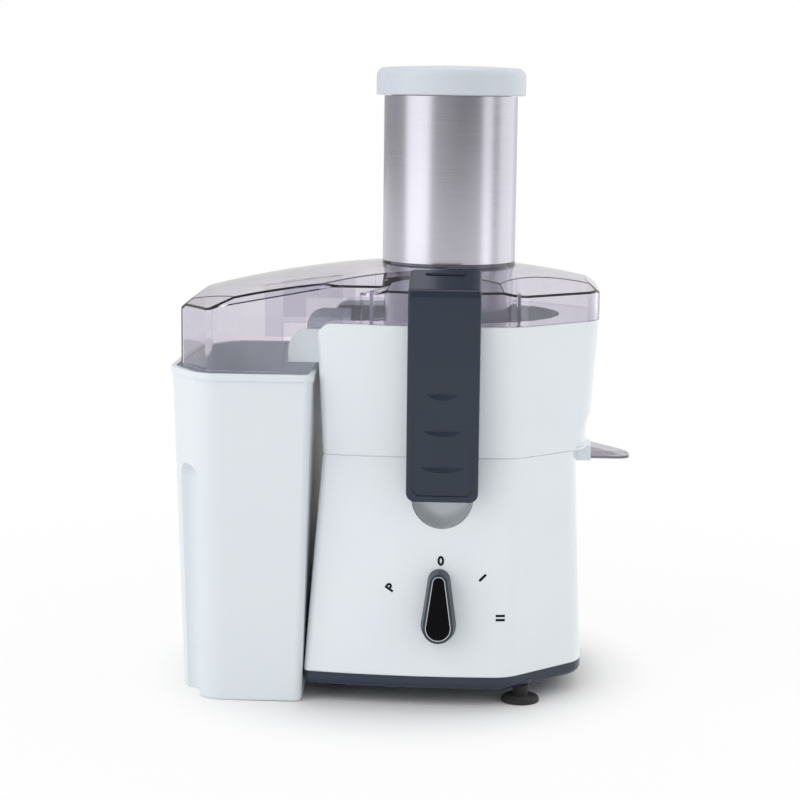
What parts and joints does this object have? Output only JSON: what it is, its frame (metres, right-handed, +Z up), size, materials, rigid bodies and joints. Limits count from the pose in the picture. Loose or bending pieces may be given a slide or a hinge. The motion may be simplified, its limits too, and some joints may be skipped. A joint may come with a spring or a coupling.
{
  "type": "centrifugal juicer",
  "caption": "Centrifugal juicer: motor base with selector knob, juice bowl with spout, smoky clear lid with steel feed tube and pusher, spinning filter basket, pulp bin and locking clamps.",
  "frame": {"origin": "centre of the footprint on the counter", "axes": "+Z up, -Y to the front with the knob, +X to the juice spout"},
  "size_m": [0.283, 0.1954, 0.3821],
  "materials": {
    "white_plastic": "gloss white, slightly blue",
    "slate_plastic": "satin slate grey",
    "smoky_clear": "clear smoke tint",
    "brushed_steel": "brushed stainless",
    "moulded_frame": "satin light grey",
    "knob_grey": "satin grey",
    "bright_trim": "polished",
    "gloss_black": "gloss",
    "black_rubber": "matt",
    "steel_parts": "turned",
    "lamination": "laminated",
    "copper": "enamelled copper",
    "cast_alloy": "as cast",
    "brass_parts": "plain",
    "carbon": "carbon",
    "dark_moulding": "moulded"
  },
  "bodies": {
    "base": {"base_plate": "slate_plastic", "base_screws": "steel_parts", "motor_housing": "white_plastic", "motor_deck": "white_plastic", "cord_gland": "black_rubber", "rotary_switch": "dark_moulding", "motor_bracket_upper": "cast_alloy", "motor_bracket_lower": "cast_alloy", "mount_bushes": "black_rubber", "mount_screws": "steel_parts", "motor_stator": "lamination", "field_coils": "copper", "bearing_upper": "steel_parts", "bearing_lower": "steel_parts", "motor_bolts": "steel_parts", "shaft_seal": "black_rubber", "juice_bowl": "white_plastic", "juice_spout": "smoky_clear", "lid": "smoky_clear", "tube_sleeve": "brushed_steel", "brush_holders": "brass_parts", "carbon_brushes": "carbon", "foot_front_right": "black_rubber", "foot_rear_right": "black_rubber", "foot_front_left": "black_rubber", "foot_rear_left": "black_rubber", "front_pivot_pin": "steel_parts", "rear_pivot_pin": "steel_parts"},
    "rotor": {"motor_shaft": "steel_parts", "armature_core": "lamination", "armature_winding": "copper", "commutator": "copper", "cooling_fan": "dark_moulding", "drive_coupling": "moulded_frame", "basket_hub": "moulded_frame", "grater_disc": "brushed_steel", "basket_frame": "moulded_frame", "sieve_wall": "brushed_steel"},
    "knob": {"control_knob": "knob_grey", "knob_ring": "bright_trim", "knob_inlay": "gloss_black", "switch_shaft": "dark_moulding"},
    "pusher": {"pusher_body": "white_plastic", "pusher_cap": "white_plastic"},
    "bin": {"pulp_bin": "white_plastic"},
    "front_link": {"front_link": "slate_plastic"},
    "front_lever": {"front_clamp": "slate_plastic", "front_link_pin": "steel_parts"},
    "rear_link": {"rear_link": "slate_plastic"},
    "rear_lever": {"rear_clamp": "slate_plastic", "rear_link_pin": "steel_parts"}
  },
  "joints": [
    {"name": "rotor_spin", "type": "hinge", "parent": "base", "child": "rotor", "pos_m": [0.02595, 0.00114, 0.182], "axis": [0, 0, 1], "continuous": true},
    {"name": "knob_turn", "type": "hinge", "parent": "base", "child": "knob", "pos_m": [0.02495, -0.08421, 0.053], "axis": [0.0022, 0.9971, -0.0755], "range_deg": [-60, 90]},
    {"name": "pusher_lift", "type": "slide", "parent": "base", "child": "pusher", "axis": [0, 0, 1], "range_m": [0, 0.175]},
    {"name": "bin_slide", "type": "slide", "parent": "base", "child": "bin", "axis": [-1, 0, 0], "range_m": [0, 0.12]},
    {"name": "front_link_swing", "type": "hinge", "parent": "base", "child": "front_link", "pos_m": [0.02595, -0.07117, 0.143], "axis": [-1, 0, 0], "range_deg": [0, 80]},
    {"name": "front_clamp_turn", "type": "hinge", "parent": "front_link", "child": "front_lever", "pos_m": [0.02595, -0.07667, 0.13], "axis": [-1, 0, 0], "range_deg": [-113, 0]},
    {"name": "rear_link_swing", "type": "hinge", "parent": "base", "child": "rear_link", "pos_m": [0.02595, 0.07345, 0.143], "axis": [1, 0, 0], "range_deg": [0, 80]},
    {"name": "rear_clamp_turn", "type": "hinge", "parent": "rear_link", "child": "rear_lever", "pos_m": [0.02595, 0.07895, 0.13], "axis": [1, 0, 0], "range_deg": [-113, 0]}
  ],
  "couplings": [
    {"joint": "front_clamp_turn", "follows": "front_link_swing", "ratio": -1.4},
    {"joint": "rear_clamp_turn", "follows": "rear_link_swing", "ratio": -1.4}
  ]
}
